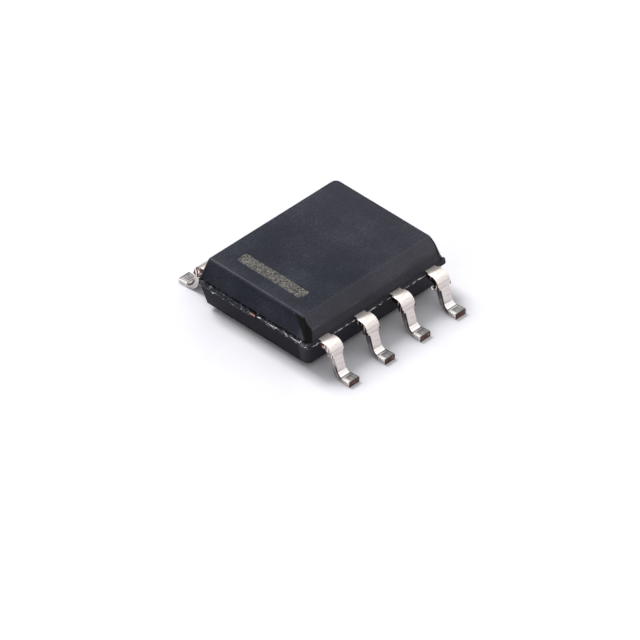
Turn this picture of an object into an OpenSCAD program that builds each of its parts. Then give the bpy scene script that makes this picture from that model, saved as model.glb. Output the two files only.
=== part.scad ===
// Eight-lead small-outline chip: a plastic body moulded round a stamped
// leadframe, with formed gull-wing leads. Millimetres, +Z up.
// The board is the plane z = 0 and the origin lies under the body's centre.
// X runs along the lead rows. Lead 1 is at -X, -Y; the numbers go round
// anticlockwise seen from above, so lead 8 faces lead 1 across the body.

/* [Body] */
// Length along the lead rows, over the parting land
body_len = 4.93; // [4.8:0.01:5]
// Width between the lead rows, over the parting land
body_wid = 3.88; // [3.8:0.01:4]
// Height of the top face above the board
body_top = 1.6; // [1.5:0.01:1.75]
// Gap between the board and the underside of the body
standoff = 0.15; // [0.1:0.01:0.25]
// Draft of the walls above the leads, in degrees
upper_draft = 15; // [7:0.5:17]
// Draft of the walls below the leads, in degrees
lower_draft = 12; // [5:0.5:15]
// Radius of the four upright corners
corner_r = 0.17; // [0.12:0.01:0.3]
// Radius along the rims of the top and bottom faces
rim_r = 0.05; // [0.02:0.01:0.08]
// How far the parting land stands out from the walls
land_out = 0.02; // [0.01:0.005:0.04]
// Corner radius of the parting land
land_corner_r = 0.05; // [0.03:0.01:0.1]
// Depth of the bevel along the lead 1 side of the top face
bevel_h = 0.32; // [0.2:0.01:0.4]
// Width that the bevel takes from the top face
bevel_w = 0.2; // [0.1:0.01:0.3]

/* [Lead 1 bar] */
// Length of the shallow laser-cut bar that marks the lead 1 end
bar_len = 2.26; // [1.5:0.01:2.6]
// Width of the bar
bar_wid = 0.37; // [0.2:0.01:0.5]
// Gap between the bar and the end of the top face
bar_inset = 0.44; // [0.3:0.01:0.6]
// Depth of the bar
bar_depth = 0.012; // [0.005:0.001:0.02]

/* [Leads] */
// Distance from lead to lead
pitch = 1.27; // [1.2:0.01:1.3]
// Width over the toes of the two rows
toe_span = 6; // [5.8:0.01:6.2]
// Thickness of the leadframe strip
strip_t = 0.15; // [0.13:0.01:0.18]
// Height of the strip's lower face above the board
strip_z = 0.805; // [0.75:0.005:0.85]
// Width of a lead
lead_w = 0.35; // [0.31:0.01:0.4]
// Length of the flat sole that is soldered down
sole_len = 0.27; // [0.2:0.01:0.35]
// Bend radius on top of the foot
heel_r = 0.18; // [0.12:0.01:0.22]
// Bend radius under the knee
knee_r = 0.1; // [0.08:0.01:0.15]
// Lean of the shank from upright, in degrees
shank_lean = 17; // [10:0.5:22]
// Width over the stubs left where the dam bar was cut away
dam_w = 0.44; // [0.41:0.01:0.48]
// Gap between the body and the stubs
dam_gap = 0.09; // [0.06:0.01:0.12]
// Length of the stubs down the shank from the end of the knee
dam_drop = 0.06; // [0:0.01:0.12]

/* [Leadframe inside the body] */
// Length of the die pad
pad_len = 2.3; // [2:0.01:2.4]
// Width of the die pad
pad_wid = 1.75; // [1.5:0.01:1.9]
// How far the die pad is pressed down below the strip
pad_drop = 0.15; // [0.1:0.01:0.2]
// Width of the tie bars that hold the die pad
tie_w = 0.22; // [0.15:0.01:0.3]
// Length of tie bar that stands out of the body after the cut
tie_out = 0.02; // [0.01:0.005:0.04]
// Slope of the step in each tie bar, in degrees
tie_slope = 45; // [35:1:60]
// Gap between the die pad and the fingers
finger_gap = 0.2; // [0.15:0.01:0.3]
// Width of the bonding tip of a middle finger
tip_w = 0.52; // [0.45:0.01:0.6]
// Length of the bonding tip of a middle finger
tip_len = 0.5; // [0.4:0.01:0.55]
// Radius of the locking notches in a middle finger's tip
notch_r = 0.07; // [0.04:0.01:0.1]
// Distance from the body's centre line to the end of a corner finger
corner_end = 0.45; // [0.3:0.01:0.55]
// Length of the bonding tip of a corner finger
corner_tip_len = 0.52; // [0.4:0.01:0.6]

/* [Die] */
// Length of the die
die_len = 1.5; // [1.2:0.01:1.7]
// Width of the die
die_wid = 1.15; // [0.9:0.01:1.3]
// Thickness of the die
die_t = 0.28; // [0.2:0.01:0.3]
// Thickness of the die-attach epoxy
epoxy_t = 0.025; // [0.015:0.005:0.04]
// How far the epoxy reaches past the die
epoxy_out = 0.06; // [0.03:0.01:0.1]

/* [Bond wires] */
// Diameter of the gold wire
wire_d = 0.025; // [0.02:0.001:0.03]
// Diameter of the ball bond on the die
ball_d = 0.07; // [0.06:0.005:0.09]
// Height of the ball bond
ball_h = 0.025; // [0.02:0.005:0.03]
// Height of the control points that lift the loop over the die's edge
loop_h = 0.2; // [0.12:0.01:0.25]
// Distance from a bond's centre to the edge of the die
bond_inset = 0.09; // [0.06:0.01:0.12]
// Distance from a stitch bond to the edge of its finger
stitch_inset = 0.16; // [0.12:0.01:0.2]
// Width of the flattened stitch bond
stitch_w = 0.06; // [0.05:0.005:0.08]

/* [Hidden] */
side_leads = 4;
lead_count = 2 * side_leads;
leads = [for (n = [1:lead_count]) str("lead_", n)];
wires = [for (n = [1:lead_count]) str("bond_wire_", n)];

corner_steps = 6;  // facets in a quarter turn of an upright corner
rim_steps = 4;     // facets in the curve of a rim
bend_steps = 10;   // facets in a bend of a lead
wire_sides = 8;
loop_steps = 9;    // rings along a wire's loop
notch_fn = 24;
far = 1;           // reach of the cutting shapes past what they cut

land_bot = strip_z;
land_top = strip_z + strip_t;
wall_len = body_len - 2 * land_out;
wall_wid = body_wid - 2 * land_out;
row_x0 = -(side_leads - 1) * pitch / 2;
row_end = body_wid / 2;

pad_z = strip_z - pad_drop;
epoxy_z = pad_z + strip_t;
die_z = epoxy_z + epoxy_t;
die_top = die_z + die_t;
tip_end = pad_wid / 2 + finger_gap;
corner_reach = -row_x0 - pad_len / 2 - finger_gap;

// -- Sides and places of the leads -----------------------------------------

// Leads 1 to 4 stand on the -Y side, the rest on the +Y side
function lead_side(n) = n <= side_leads ? -1 : 1;
function lead_x(n) =
    row_x0 + pitch * (n <= side_leads ? n - 1 : lead_count - n);
function is_corner(n) = abs(lead_x(n)) > pad_len / 2 + finger_gap;

// -- Lofts: a solid through rings of points, each ring seen anticlockwise ----

module loft(rings) {
    m = len(rings[0]);
    top_ring = (len(rings) - 1) * m;
    polyhedron(
        points = [for (ring = rings) each ring],
        faces = concat(
            [[for (i = [0:m - 1]) i]],
            [for (k = [0:len(rings) - 2], i = [0:m - 1])
                let (j = (i + 1) % m, a = k * m, b = a + m)
                each [[a + i, b + i, b + j], [a + i, b + j, a + j]]],
            [[for (i = [m - 1:-1:0]) top_ring + i]]));
}

// -- Moulded body -----------------------------------------------------------

// Outline at height z: inset from the full size, with its -Y side drawn in
// by a further cut where the bevel runs
function body_ring(l, w, inset, cut, r, z) = [
    for (c = [[1, -1, -90], [1, 1, 0], [-1, 1, 90], [-1, -1, 180]],
         i = [0:corner_steps])
        let (a = c[2] + 90 * i / corner_steps,
             side = c[1] < 0 ? w / 2 - inset - cut : w / 2 - inset)
        [c[0] * (l / 2 - inset - r) + r * cos(a),
         c[1] * (side - r) + r * sin(a), z]];

upper_run = tan(upper_draft);
lower_run = tan(lower_draft);
bevel_z = body_top - bevel_h;
top_inset = (body_top - land_top) * upper_run;

// Draft inset of the upper walls, and what the bevel adds on its side
function upper_inset(z) = (z - land_top) * upper_run;
function bevel_cut(z) = max(0, bevel_w * (z - bevel_z) / bevel_h);

function upper_ring(z, round_in = 0) =
    body_ring(wall_len, wall_wid, upper_inset(z) + round_in, bevel_cut(z),
              corner_r, z);
function lower_ring(z, round_in = 0) =
    body_ring(wall_len, wall_wid, (land_bot - z) * lower_run + round_in, 0,
              corner_r, z);
function land_ring(z) =
    body_ring(body_len, body_wid, 0, 0, land_corner_r, z);

// Angles of the rim's curve, from the wall to the flat face
rim_angles = [for (i = [0:rim_steps]) 90 * i / rim_steps];
function rim_rise(a) = rim_r * (1 - sin(a));
function rim_in(a) = rim_r * (1 - cos(a));

module mould_shell() {
    lower_rim = [for (i = [rim_steps:-1:0])
        let (a = rim_angles[i])
        lower_ring(standoff + rim_rise(a), rim_in(a))];
    upper_rim = [for (a = rim_angles)
        upper_ring(body_top - rim_rise(a), rim_in(a))];
    loft(concat(
        lower_rim,
        [lower_ring(land_bot), land_ring(land_bot),
         land_ring(land_top), upper_ring(land_top), upper_ring(bevel_z)],
        upper_rim));
}

// The bar runs across the lead 1 end, centred on the flat of the top face
module lead_1_bar() {
    translate([-wall_len / 2 + top_inset + bar_inset,
               bevel_w / 2 - bar_len / 2, body_top - bar_depth])
        cube([bar_wid, bar_len, far]);
}

module mould_body() {
    color("#2b2c31")
        difference() {
            mould_shell();
            for (n = [1:lead_count]) {
                lead(n);
                bond_wire(n);
            }
            die_pad();
            die_attach();
            die();
            lead_1_bar();
        }
}

// -- Leads ------------------------------------------------------------------

// Points of an arc about c, from angle a0 to a1
function arc(c, r, a0, a1) = [
    for (i = [0:bend_steps])
        let (a = a0 + (a1 - a0) * i / bend_steps)
        c + r * [cos(a), sin(a)]];

toe = toe_span / 2;
turn = 90 - shank_lean;
shank_normal = [sin(turn), cos(turn)];
shank_down = [cos(turn), -sin(turn)];

// Centres of the two bends, in a plane across the body: [distance out, height]
heel_c = [toe - sole_len, strip_t + heel_r];
shank_foot = heel_c - heel_r * shank_normal;
knee_z = strip_z - knee_r;
shank_head_z = knee_z + (knee_r + strip_t) * cos(turn);
shank_len = (shank_head_z - shank_foot[1]) / sin(turn);
shank_head = shank_foot - shank_len * shank_down;
knee_c = [shank_head[0] - (knee_r + strip_t) * sin(turn), knee_z];

// Side view of the formed strip, from the body's wall to the toe
module wing_profile() {
    polygon(concat(
        [[row_end, strip_z], [row_end, land_top]],
        arc(knee_c, knee_r + strip_t, 90, 90 - turn),
        arc(heel_c, heel_r, 270 - turn, 270),
        [[toe, strip_t], [toe, 0]],
        arc(heel_c, heel_r + strip_t, 270, 270 - turn),
        arc(knee_c, knee_r, 90 - turn, 90)));
}

// The stretch of the side view where the dam bar was cut: it ends square to
// the shank
module dam_window() {
    cut = knee_c + dam_drop * shank_down;
    polygon([
        [row_end + dam_gap, knee_z], [row_end + dam_gap, land_top + far],
        knee_c + [far, far], cut + far * shank_normal, cut]);
}

// Turns a side view, drawn as [distance out, height], into a strip of width w
module strip_across(w) {
    rotate([90, 0, 90])
        translate([0, 0, -w / 2])
            linear_extrude(w) children();
}

module gull_wing() {
    strip_across(lead_w) wing_profile();
    strip_across(dam_w)
        intersection() {
            wing_profile();
            dam_window();
        }
}

// Plan of a middle finger: a straight limb that widens to a bonding tip with
// two locking notches
module middle_finger() {
    shoulder = tip_end + tip_len;
    flare = (tip_w - lead_w) / 2;
    difference() {
        polygon([
            [-lead_w / 2, row_end], [-lead_w / 2, shoulder + flare],
            [-tip_w / 2, shoulder], [-tip_w / 2, tip_end],
            [tip_w / 2, tip_end], [tip_w / 2, shoulder],
            [lead_w / 2, shoulder + flare], [lead_w / 2, row_end]]);
        for (s = [-1, 1])
            translate([s * tip_w / 2, shoulder - 2 * notch_r])
                circle(notch_r, $fn = notch_fn);
    }
}

// Plan of a corner finger: a limb that turns in beside the end of the die pad
module corner_finger() {
    tip_top = corner_end + corner_tip_len;
    elbow = tip_top + corner_reach - lead_w / 2;
    polygon([
        [-lead_w / 2, row_end], [-lead_w / 2, corner_end],
        [corner_reach, corner_end], [corner_reach, tip_top],
        [lead_w / 2, elbow], [lead_w / 2, row_end]]);
}

// One lead, stamped and formed in one piece: finger inside, gull wing outside
module lead(n) {
    turn_in = lead_x(n) < 0 ? 0 : 1;
    color("#c9c3bc")
        translate([lead_x(n), 0, 0])
            mirror([turn_in, 0, 0])
                mirror([0, lead_side(n) < 0 ? 1 : 0, 0]) {
                    gull_wing();
                    translate([0, 0, strip_z])
                        linear_extrude(strip_t)
                            if (is_corner(n)) corner_finger();
                            else middle_finger();
                }
}

// -- Die pad and die --------------------------------------------------------

// Side view along X of the pad and its tie bars, which step up to the strip
module pad_profile() {
    run = pad_drop / tan(tie_slope);
    mitre = strip_t * tan(tie_slope / 2);
    end = body_len / 2 + tie_out;
    low = pad_len / 2 + mitre;
    half = [[low, pad_z], [low + run, strip_z], [end, strip_z],
            [end, land_top], [low + run - mitre, land_top],
            [low - mitre, epoxy_z]];
    polygon(concat(half, [for (i = [len(half) - 1:-1:0])
                              [-half[i][0], half[i][1]]]));
}

module die_pad() {
    color("#b87a55") {
        rotate([90, 0, 0])
            translate([0, 0, -tie_w / 2])
                linear_extrude(tie_w) pad_profile();
        translate([-pad_len / 2, -pad_wid / 2, pad_z])
            cube([pad_len, pad_wid, strip_t]);
    }
}

// A plate centred on the die pad
module centred_plate(l, w, t, z) {
    translate([-l / 2, -w / 2, z]) cube([l, w, t]);
}

module die_attach() {
    color("#9a9a98")
        centred_plate(die_len + 2 * epoxy_out, die_wid + 2 * epoxy_out,
                      epoxy_t, epoxy_z);
}

module die() {
    color("#5a5f70") centred_plate(die_len, die_wid, die_t, die_z);
}

// -- Bond wires -------------------------------------------------------------

// Bond pads: middle wires leave the die's long edges, corner wires its ends
function ball_at(n) =
    let (sx = sign(lead_x(n)), sy = lead_side(n))
    is_corner(n)
        ? [sx * (die_len / 2 - bond_inset), sy * die_wid / 4]
        : [sx * die_len / 4, sy * (die_wid / 2 - bond_inset)];
function stitch_at(n) =
    let (sx = sign(lead_x(n)), sy = lead_side(n))
    is_corner(n)
        ? [sx * (pad_len / 2 + finger_gap + stitch_inset),
           sy * (corner_end + corner_tip_len / 2)]
        : [lead_x(n), sy * (tip_end + stitch_inset)];

// A ring of the wire, as the ellipse ru by rv in the plane of u and v
function wire_ring(c, u, v, ru, rv) = [
    for (i = [0:wire_sides - 1])
        let (a = 360 * (i + 0.5) / wire_sides)
        c + ru * cos(a) * u + rv * sin(a) * v];

// Cubic through the loop's control points, and its direction, at t from 0 to 1
function loop_at(p, t) =
    pow(1 - t, 3) * p[0] + 3 * t * pow(1 - t, 2) * p[1]
    + 3 * t * t * (1 - t) * p[2] + pow(t, 3) * p[3];
function loop_dir(p, t) =
    let (d = pow(1 - t, 2) * (p[1] - p[0]) + 2 * t * (1 - t) * (p[2] - p[1])
             + t * t * (p[3] - p[2]))
    d / norm(d);

// Ball on the die, loop, and stitch pressed flat on the finger
module bond_wire(n) {
    a = ball_at(n);
    b = stitch_at(n);
    along = [b[0] - a[0], b[1] - a[1], 0] / norm(b - a);
    across = cross(along, [0, 0, 1]);
    ball_top = die_top + ball_h;
    loop = [[a[0], a[1], ball_top],
            [a[0], a[1], ball_top + loop_h],
            concat((a + b) / 2, [ball_top + loop_h]),
            [b[0], b[1], land_top]];
    // Each ring's first axis points back along the loop
    back = -along;
    ball = [for (s = [[0, 0.8], [0.3, 1], [0.7, 1], [1, 0.75]])
        wire_ring([a[0], a[1], die_top + s[0] * ball_h], back, across,
                  s[1] * ball_d / 2, s[1] * ball_d / 2)];
    wire = [for (i = [0:loop_steps - 1])
        let (t = i / loop_steps, d = loop_dir(loop, t),
             u = cross(across, d))
        wire_ring(loop_at(loop, t), u, across, wire_d / 2, wire_d / 2)];
    stitch = wire_ring(loop[3], along, across, wire_d, stitch_w / 2);
    color("#d8ab4c") loft(concat(ball, wire, [stitch]));
}

// -- Nodes ------------------------------------------------------------------

mould_body();
for (n = [1:lead_count])
    lead(n);
die_pad();
die_attach();
die();
for (n = [1:lead_count])
    bond_wire(n);
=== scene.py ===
import math

import bmesh
import bpy
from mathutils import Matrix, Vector


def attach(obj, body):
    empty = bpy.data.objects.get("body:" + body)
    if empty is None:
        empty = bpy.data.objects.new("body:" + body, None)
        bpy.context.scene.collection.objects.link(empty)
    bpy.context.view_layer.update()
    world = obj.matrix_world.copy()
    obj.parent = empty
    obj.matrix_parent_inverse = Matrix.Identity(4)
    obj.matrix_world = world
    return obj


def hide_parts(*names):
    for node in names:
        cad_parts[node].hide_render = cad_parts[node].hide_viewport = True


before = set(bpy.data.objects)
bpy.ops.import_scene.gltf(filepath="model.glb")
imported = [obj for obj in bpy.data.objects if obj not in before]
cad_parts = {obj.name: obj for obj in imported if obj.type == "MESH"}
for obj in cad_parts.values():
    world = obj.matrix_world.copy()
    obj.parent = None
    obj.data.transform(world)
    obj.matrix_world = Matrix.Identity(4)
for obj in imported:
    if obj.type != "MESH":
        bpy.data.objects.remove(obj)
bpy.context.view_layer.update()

mm = 0.001


# ---------------------------------------------------------------- camera
# A long lens looks down on the chip from beyond the corner of lead 1, so the
# two long rows of leads stay almost parallel and nothing is foreshortened.
camera_turn = math.radians(-45.484)
camera_rise = math.radians(38.405)
camera_distance = 330.19 * mm
view_width = 16.042 * mm
chip_middle = Vector((0, 0, 0.8 * mm))
beside_middle = 0.051 * mm
below_middle = 1.174 * mm

to_camera = Vector((math.sin(camera_turn) * math.cos(camera_rise),
                    -math.cos(camera_turn) * math.cos(camera_rise),
                    math.sin(camera_rise)))
to_right = Vector((math.cos(camera_turn), math.sin(camera_turn), 0))
to_top = to_camera.cross(to_right)
camera_place = chip_middle + to_camera * camera_distance
aim = chip_middle - to_right * beside_middle - to_top * below_middle
lens = bpy.data.cameras.new("long_lens")
lens.sensor_width = 36
lens.lens = 36 * camera_distance / view_width
lens.clip_start = 0.01
lens.clip_end = 20
camera = bpy.data.objects.new("camera", lens)
camera.location = camera_place
camera.rotation_euler = (aim - camera_place).to_track_quat("-Z", "Y").to_euler()
bpy.context.scene.collection.objects.link(camera)
bpy.context.scene.camera = camera
bpy.context.scene.view_settings.view_transform = "Standard"


# ---------------------------------------------------------------- table and light
# A white table top in a studio tent that is bright overhead and dim low down, with
# a soft box high behind leads 5 to 8. The table is faintly mottled card.
tent_foot_light, tent_crown_light = 0.045, 1.298
soft_box_side = 200 * mm
soft_box_place = Vector((-20, 330, 400)) * mm
soft_box_power = 3.587


def new_material(name):
    """An empty material, ready for its nodes."""
    material = bpy.data.materials.new(name)
    material.use_nodes = True
    material.node_tree.nodes.clear()
    return material


def add(tree, kind, wires=(), **settings):
    """Adds a node. Settings in small letters are its own; wires go into its inputs."""
    node = tree.nodes.new(kind)
    for key, value in settings.items():
        setattr(node, key, value)
    for socket, value in dict(wires).items():
        if isinstance(value, bpy.types.NodeSocket):
            tree.links.new(value, node.inputs[socket])
        else:
            node.inputs[socket].default_value = value
    return node


def finish_material(material, **wires):
    """Puts the surface shader on, with what feeds each of its sockets."""
    tree = material.node_tree
    names = {key: key.replace("_", " ") for key in wires}
    shader = add(tree, "ShaderNodeBsdfPrincipled",
                 {names[key]: value for key, value in wires.items()})
    add(tree, "ShaderNodeOutputMaterial", {"Surface": shader.outputs["BSDF"]})
    return shader


def ramp(tree, factor, stops):
    """A colour ramp with its stops given as (place, colour)."""
    node = add(tree, "ShaderNodeValToRGB", {"Fac": factor})
    band = node.color_ramp
    while len(band.elements) < len(stops):
        band.elements.new(0.5)
    for element, (place, colour) in zip(band.elements, stops):
        element.position = place
        element.color = (*colour, 1)
    return node.outputs["Color"]


bpy.ops.object.select_all(action="DESELECT")
bpy.ops.mesh.primitive_plane_add(size=2)
table_top = bpy.context.object
table_top.name = "table_top"
table_card = new_material("table_card")
tree = table_card.node_tree
spot = add(tree, "ShaderNodeTexCoord").outputs["Object"]
fibre = add(tree, "ShaderNodeTexNoise", {"Vector": spot, "Scale": 900.0, "Detail": 2.0})
card_colour = ramp(tree, fibre.outputs["Fac"], [(0.3, (0.486, 0.484, 0.512)), (0.7, (0.506, 0.504, 0.530))])
finish_material(table_card, Base_Color=card_colour, Roughness=0.9)
table_top.data.materials.append(table_card)

tent = bpy.data.worlds.new("studio_tent")
tent.use_nodes = True
sky = tent.node_tree.nodes["Background"]
sky.inputs["Color"].default_value = (1.0, 0.995, 1.0, 1)
towards = add(tent.node_tree, "ShaderNodeSeparateXYZ",
              {"Vector": add(tent.node_tree, "ShaderNodeTexCoord").outputs["Generated"]})
tent_wall = add(tent.node_tree, "ShaderNodeMapRange", {"Value": towards.outputs["Z"], "From Min": -1.0,
                                                       "To Min": tent_foot_light, "To Max": tent_crown_light})
tent.node_tree.links.new(tent_wall.outputs["Result"], sky.inputs["Strength"])
bpy.context.scene.world = tent
soft_box = bpy.data.lights.new("soft_box", "AREA")
soft_box.size = soft_box_side
soft_box.energy = soft_box_power
soft_box_object = bpy.data.objects.new("soft_box", soft_box)
soft_box_object.location = soft_box_place
soft_box_object.rotation_euler = (-soft_box_place).to_track_quat("-Z", "Y").to_euler()
bpy.context.scene.collection.objects.link(soft_box_object)


# ---------------------------------------------------------------- moulded body
# Black epoxy moulding compound, pressed round the lead frame in a two-part
# mould: both halves taper away from the parting band, the long edge beside
# leads 1 to 4 has a flat bevel, and the laser burnt a pale bar near lead 1.
body_foot = (4.612, 3.562, 0.15)
body_waist = (4.890, 3.840, 0.805)
body_shoulder = (4.890, 3.840, 0.955)
body_roof = (4.544, 3.494, 1.600)
body_corner, corner_by_lead_8 = 0.165, 0.05
rim = 0.07
bevel_top = (-1.547, 1.600)
bevel_foot = (-1.833, 1.280)
band_length, band_width, band_corner, band_thick = 4.93, 3.88, 0.05, 0.144
band_end_from, band_side_from = 2.4, 1.9
bar_length, bar_width, bar_corner, bar_depth = 2.26, 0.37, 0.10, 0.012
bar_middle, bar_cutter_high = (-1.647, 0.10), 0.05
groove_width, groove_length, groove_level, groove_high = 0.12, 3.62, 0.944, 0.026
groove_place = 2.468


def nothing_picked():
    """Deselects every object, as the operators act on all that is selected."""
    if bpy.context.object and bpy.context.object.mode != "OBJECT":
        bpy.ops.object.mode_set(mode="OBJECT")
    bpy.ops.object.select_all(action="DESELECT")


def hold(piece):
    """Makes the piece the only one that the operators act on."""
    nothing_picked()
    piece.select_set(True)
    bpy.context.view_layer.objects.active = piece


def sheet_of(length, width, height):
    """A level sheet of that size in millimetres, opened for editing."""
    nothing_picked()
    bpy.ops.mesh.primitive_plane_add(size=1)
    bpy.ops.object.mode_set(mode="EDIT")
    bpy.ops.transform.resize(value=(length * mm, width * mm, 1))
    bpy.ops.transform.translate(value=(0, 0, height * mm))
    return bpy.context.object


def centre_of(part):
    """The middle of a face, edge or vertex, in millimetres."""
    if isinstance(part, bmesh.types.BMFace):
        return part.calc_center_median() / mm
    if isinstance(part, bmesh.types.BMEdge):
        return (part.verts[0].co + part.verts[1].co) / (2 * mm)
    return part.co / mm


def pick(piece, kind, test):
    """Selects those faces, edges or verts of the open piece that pass the test."""
    bpy.ops.mesh.select_mode(type={"faces": "FACE", "edges": "EDGE", "verts": "VERT"}[kind])
    bpy.ops.mesh.select_all(action="DESELECT")
    form = bmesh.from_edit_mesh(piece.data)
    for part in getattr(form, kind):
        if test(part):
            part.select_set(True)
    form.select_flush_mode()
    bmesh.update_edit_mesh(piece.data)


def round_corners(radius, steps):
    """Rounds the corners of the sheet in hand."""
    bpy.ops.mesh.bevel(offset_type="OFFSET", offset=radius * mm, segments=steps,
                       affect="VERTICES", clamp_overlap=False)


def finish_slab(high):
    """Draws the sheet in hand up into a closed slab."""
    bpy.ops.mesh.select_mode(type="FACE")
    bpy.ops.mesh.select_all(action="SELECT")
    bpy.ops.mesh.extrude_region_move(TRANSFORM_OT_translate={"value": (0, 0, high * mm)})
    bpy.ops.mesh.select_all(action="SELECT")
    bpy.ops.mesh.normals_make_consistent(inside=False)
    bpy.ops.object.mode_set(mode="OBJECT")


def cut_or_join(piece, tool, operation):
    """Joins the tool to the piece or cuts it out, then puts the tool away."""
    hold(piece)
    work = piece.modifiers.new(operation.lower(), "BOOLEAN")
    work.operation = operation
    work.solver = "EXACT"
    work.object = tool
    bpy.ops.object.modifier_apply(modifier=work.name)
    bpy.data.objects.remove(tool)


mould = sheet_of(*body_foot)
mould.name = "moulded_body"
pick(mould, "verts", lambda v: v.co.x > 0 or v.co.y < 0)
round_corners(body_corner, 6)
pick(mould, "verts", lambda v: centre_of(v).x < -2.2 and centre_of(v).y > 1.7)
round_corners(corner_by_lead_8, 6)
bpy.ops.mesh.select_mode(type="FACE")
bpy.ops.mesh.select_all(action="SELECT")
for below, above in ((body_foot, body_waist), (body_waist, body_shoulder), (body_shoulder, body_roof)):
    bpy.ops.mesh.extrude_region_move(TRANSFORM_OT_translate={"value": (0, 0, (above[2] - below[2]) * mm)})
    bpy.ops.transform.resize(value=(above[0] / below[0], above[1] / below[1], 1),
                             center_override=(0, 0, above[2] * mm))
bpy.ops.mesh.select_all(action="SELECT")
bpy.ops.mesh.normals_make_consistent(inside=False)
bevel_fall = Vector((0, bevel_foot[0] - bevel_top[0], bevel_foot[1] - bevel_top[1])).normalized()
bevel_face = Vector((0, bevel_fall.z, -bevel_fall.y))
bevel_spot = Vector((0, bevel_top[0] * mm, bevel_top[1] * mm))
bpy.ops.mesh.bisect(plane_co=bevel_spot, plane_no=bevel_face, use_fill=True, clear_outer=True,
                    threshold=1e-8)


def on_bevel(point):
    """True for a point in millimetres that lies in the bevel's plane."""
    return abs((point * mm - bevel_spot).dot(bevel_face)) < 2e-7


def both_ends(edge, test):
    return all(test(corner.co / mm) for corner in edge.verts)


pick(mould, "edges", lambda e: both_ends(e, lambda p: p.z > 1.599) or both_ends(e, lambda p: p.z < 0.151)
     or both_ends(e, on_bevel))
bpy.ops.mesh.bevel(offset=rim * mm, segments=4, affect="EDGES", profile=0.5, clamp_overlap=True)
bpy.ops.mesh.select_all(action="SELECT")
bpy.ops.mesh.remove_doubles(threshold=1e-8)
bpy.ops.mesh.normals_make_consistent(inside=False)
bpy.ops.object.mode_set(mode="OBJECT")

# the parting band that stands out where the two mould halves met
band = sheet_of(band_length, band_width, body_waist[2])
round_corners(band_corner, 3)
pick(band, "edges", lambda e: e.calc_length() > 1 * mm)
bpy.ops.mesh.subdivide(number_cuts=90)
pick(band, "verts", lambda v: abs(v.co.x) > band_end_from * mm)
bpy.ops.transform.vertex_random(offset=0.012 * mm, seed=3)
pick(band, "verts", lambda v: abs(v.co.y) > band_side_from * mm and abs(v.co.x) < band_end_from * mm)
bpy.ops.transform.vertex_random(offset=0.004 * mm, seed=5)
bpy.ops.mesh.select_all(action="SELECT")
bpy.ops.transform.resize(value=(1, 1, 0), center_override=(0, 0, body_waist[2] * mm))
bpy.ops.mesh.select_mode(type="FACE")
bpy.ops.mesh.select_all(action="SELECT")
bpy.ops.mesh.extrude_region_move(TRANSFORM_OT_translate={"value": (0, 0, band_thick * mm)})
pick(band, "verts", lambda v: abs(v.co.x) > band_end_from * mm and v.co.z > 0.9 * mm)
bpy.ops.transform.vertex_random(offset=0.018 * mm, seed=8)
bpy.ops.mesh.select_all(action="SELECT")
bpy.ops.mesh.normals_make_consistent(inside=False)
bpy.ops.object.mode_set(mode="OBJECT")
cut_or_join(mould, band, "UNION")

# the torn groove over the band, where the runner and the frame's rails broke off
for end in (-1, 1):
    tear = sheet_of(groove_width, groove_length, groove_level)
    pick(tear, "edges", lambda e: e.calc_length() > 1 * mm)
    bpy.ops.mesh.subdivide(number_cuts=110)
    pick(tear, "verts", lambda v: True)
    bpy.ops.transform.vertex_random(offset=0.030 * mm, seed=31 + end)
    bpy.ops.transform.resize(value=(1, 1, 0), center_override=(0, 0, groove_level * mm))
    bpy.ops.transform.translate(value=(groove_place * end * mm, 0, 0))
    finish_slab(groove_high)
    cut_or_join(mould, tear, "DIFFERENCE")

# the laser's bar, a shallow bed with a slightly ragged outline
bar = sheet_of(bar_width, bar_length, body_roof[2] - bar_depth)
round_corners(bar_corner, 4)
pick(bar, "edges", lambda e: e.calc_length() > 0.1 * mm)
bpy.ops.mesh.subdivide(number_cuts=24)
pick(bar, "verts", lambda v: True)
bpy.ops.transform.vertex_random(offset=0.006 * mm, seed=11)
bpy.ops.transform.resize(value=(1, 1, 0), center_override=(0, 0, (body_roof[2] - bar_depth) * mm))
bpy.ops.transform.translate(value=(bar_middle[0] * mm, bar_middle[1] * mm, 0))
finish_slab(bar_cutter_high)
cut_or_join(mould, bar, "DIFFERENCE")

# the cuts leave a needle-thin triangle of the torn groove open, so it is closed here
hold(mould)
bpy.ops.object.mode_set(mode="EDIT")
bpy.ops.mesh.select_all(action="SELECT")
bpy.ops.mesh.fill_holes(sides=3)
bpy.ops.object.mode_set(mode="OBJECT")
hold(mould)
bpy.ops.object.shade_smooth_by_angle(angle=math.radians(28))


def mottle_group():
    """Fine speckle over slow clouds: what a surface shows that was cast or burnt."""
    group = bpy.data.node_groups.new("cast_mottle", "ShaderNodeTree")
    for name, kind, low in (("Spot", "NodeSocketVector", None), ("Cloud Size", "NodeSocketFloat", 900.0),
                            ("Speckle Size", "NodeSocketFloat", 30000.0)):
        socket = group.interface.new_socket(name=name, in_out="INPUT", socket_type=kind)
        if low is not None:
            socket.default_value = low
    for name in ("Cloud", "Speckle", "Both"):
        group.interface.new_socket(name=name, in_out="OUTPUT", socket_type="NodeSocketFloat")
    entry = group.nodes.new("NodeGroupInput")
    cloud = add(group, "ShaderNodeTexNoise", {"Vector": entry.outputs["Spot"],
                                              "Scale": entry.outputs["Cloud Size"],
                                              "Detail": 4.0, "Roughness": 0.55})
    speckle = add(group, "ShaderNodeTexNoise", {"Vector": entry.outputs["Spot"],
                                                "Scale": entry.outputs["Speckle Size"],
                                                "Detail": 3.0, "Roughness": 0.7})
    both = add(group, "ShaderNodeMix", {"Factor": 0.6, "A": cloud.outputs["Fac"],
                                        "B": speckle.outputs["Fac"]})
    add(group, "NodeGroupOutput", {"Cloud": cloud.outputs["Fac"], "Speckle": speckle.outputs["Fac"],
                                   "Both": both.outputs["Result"]})
    return group


cast_mottle = mottle_group()


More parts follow.
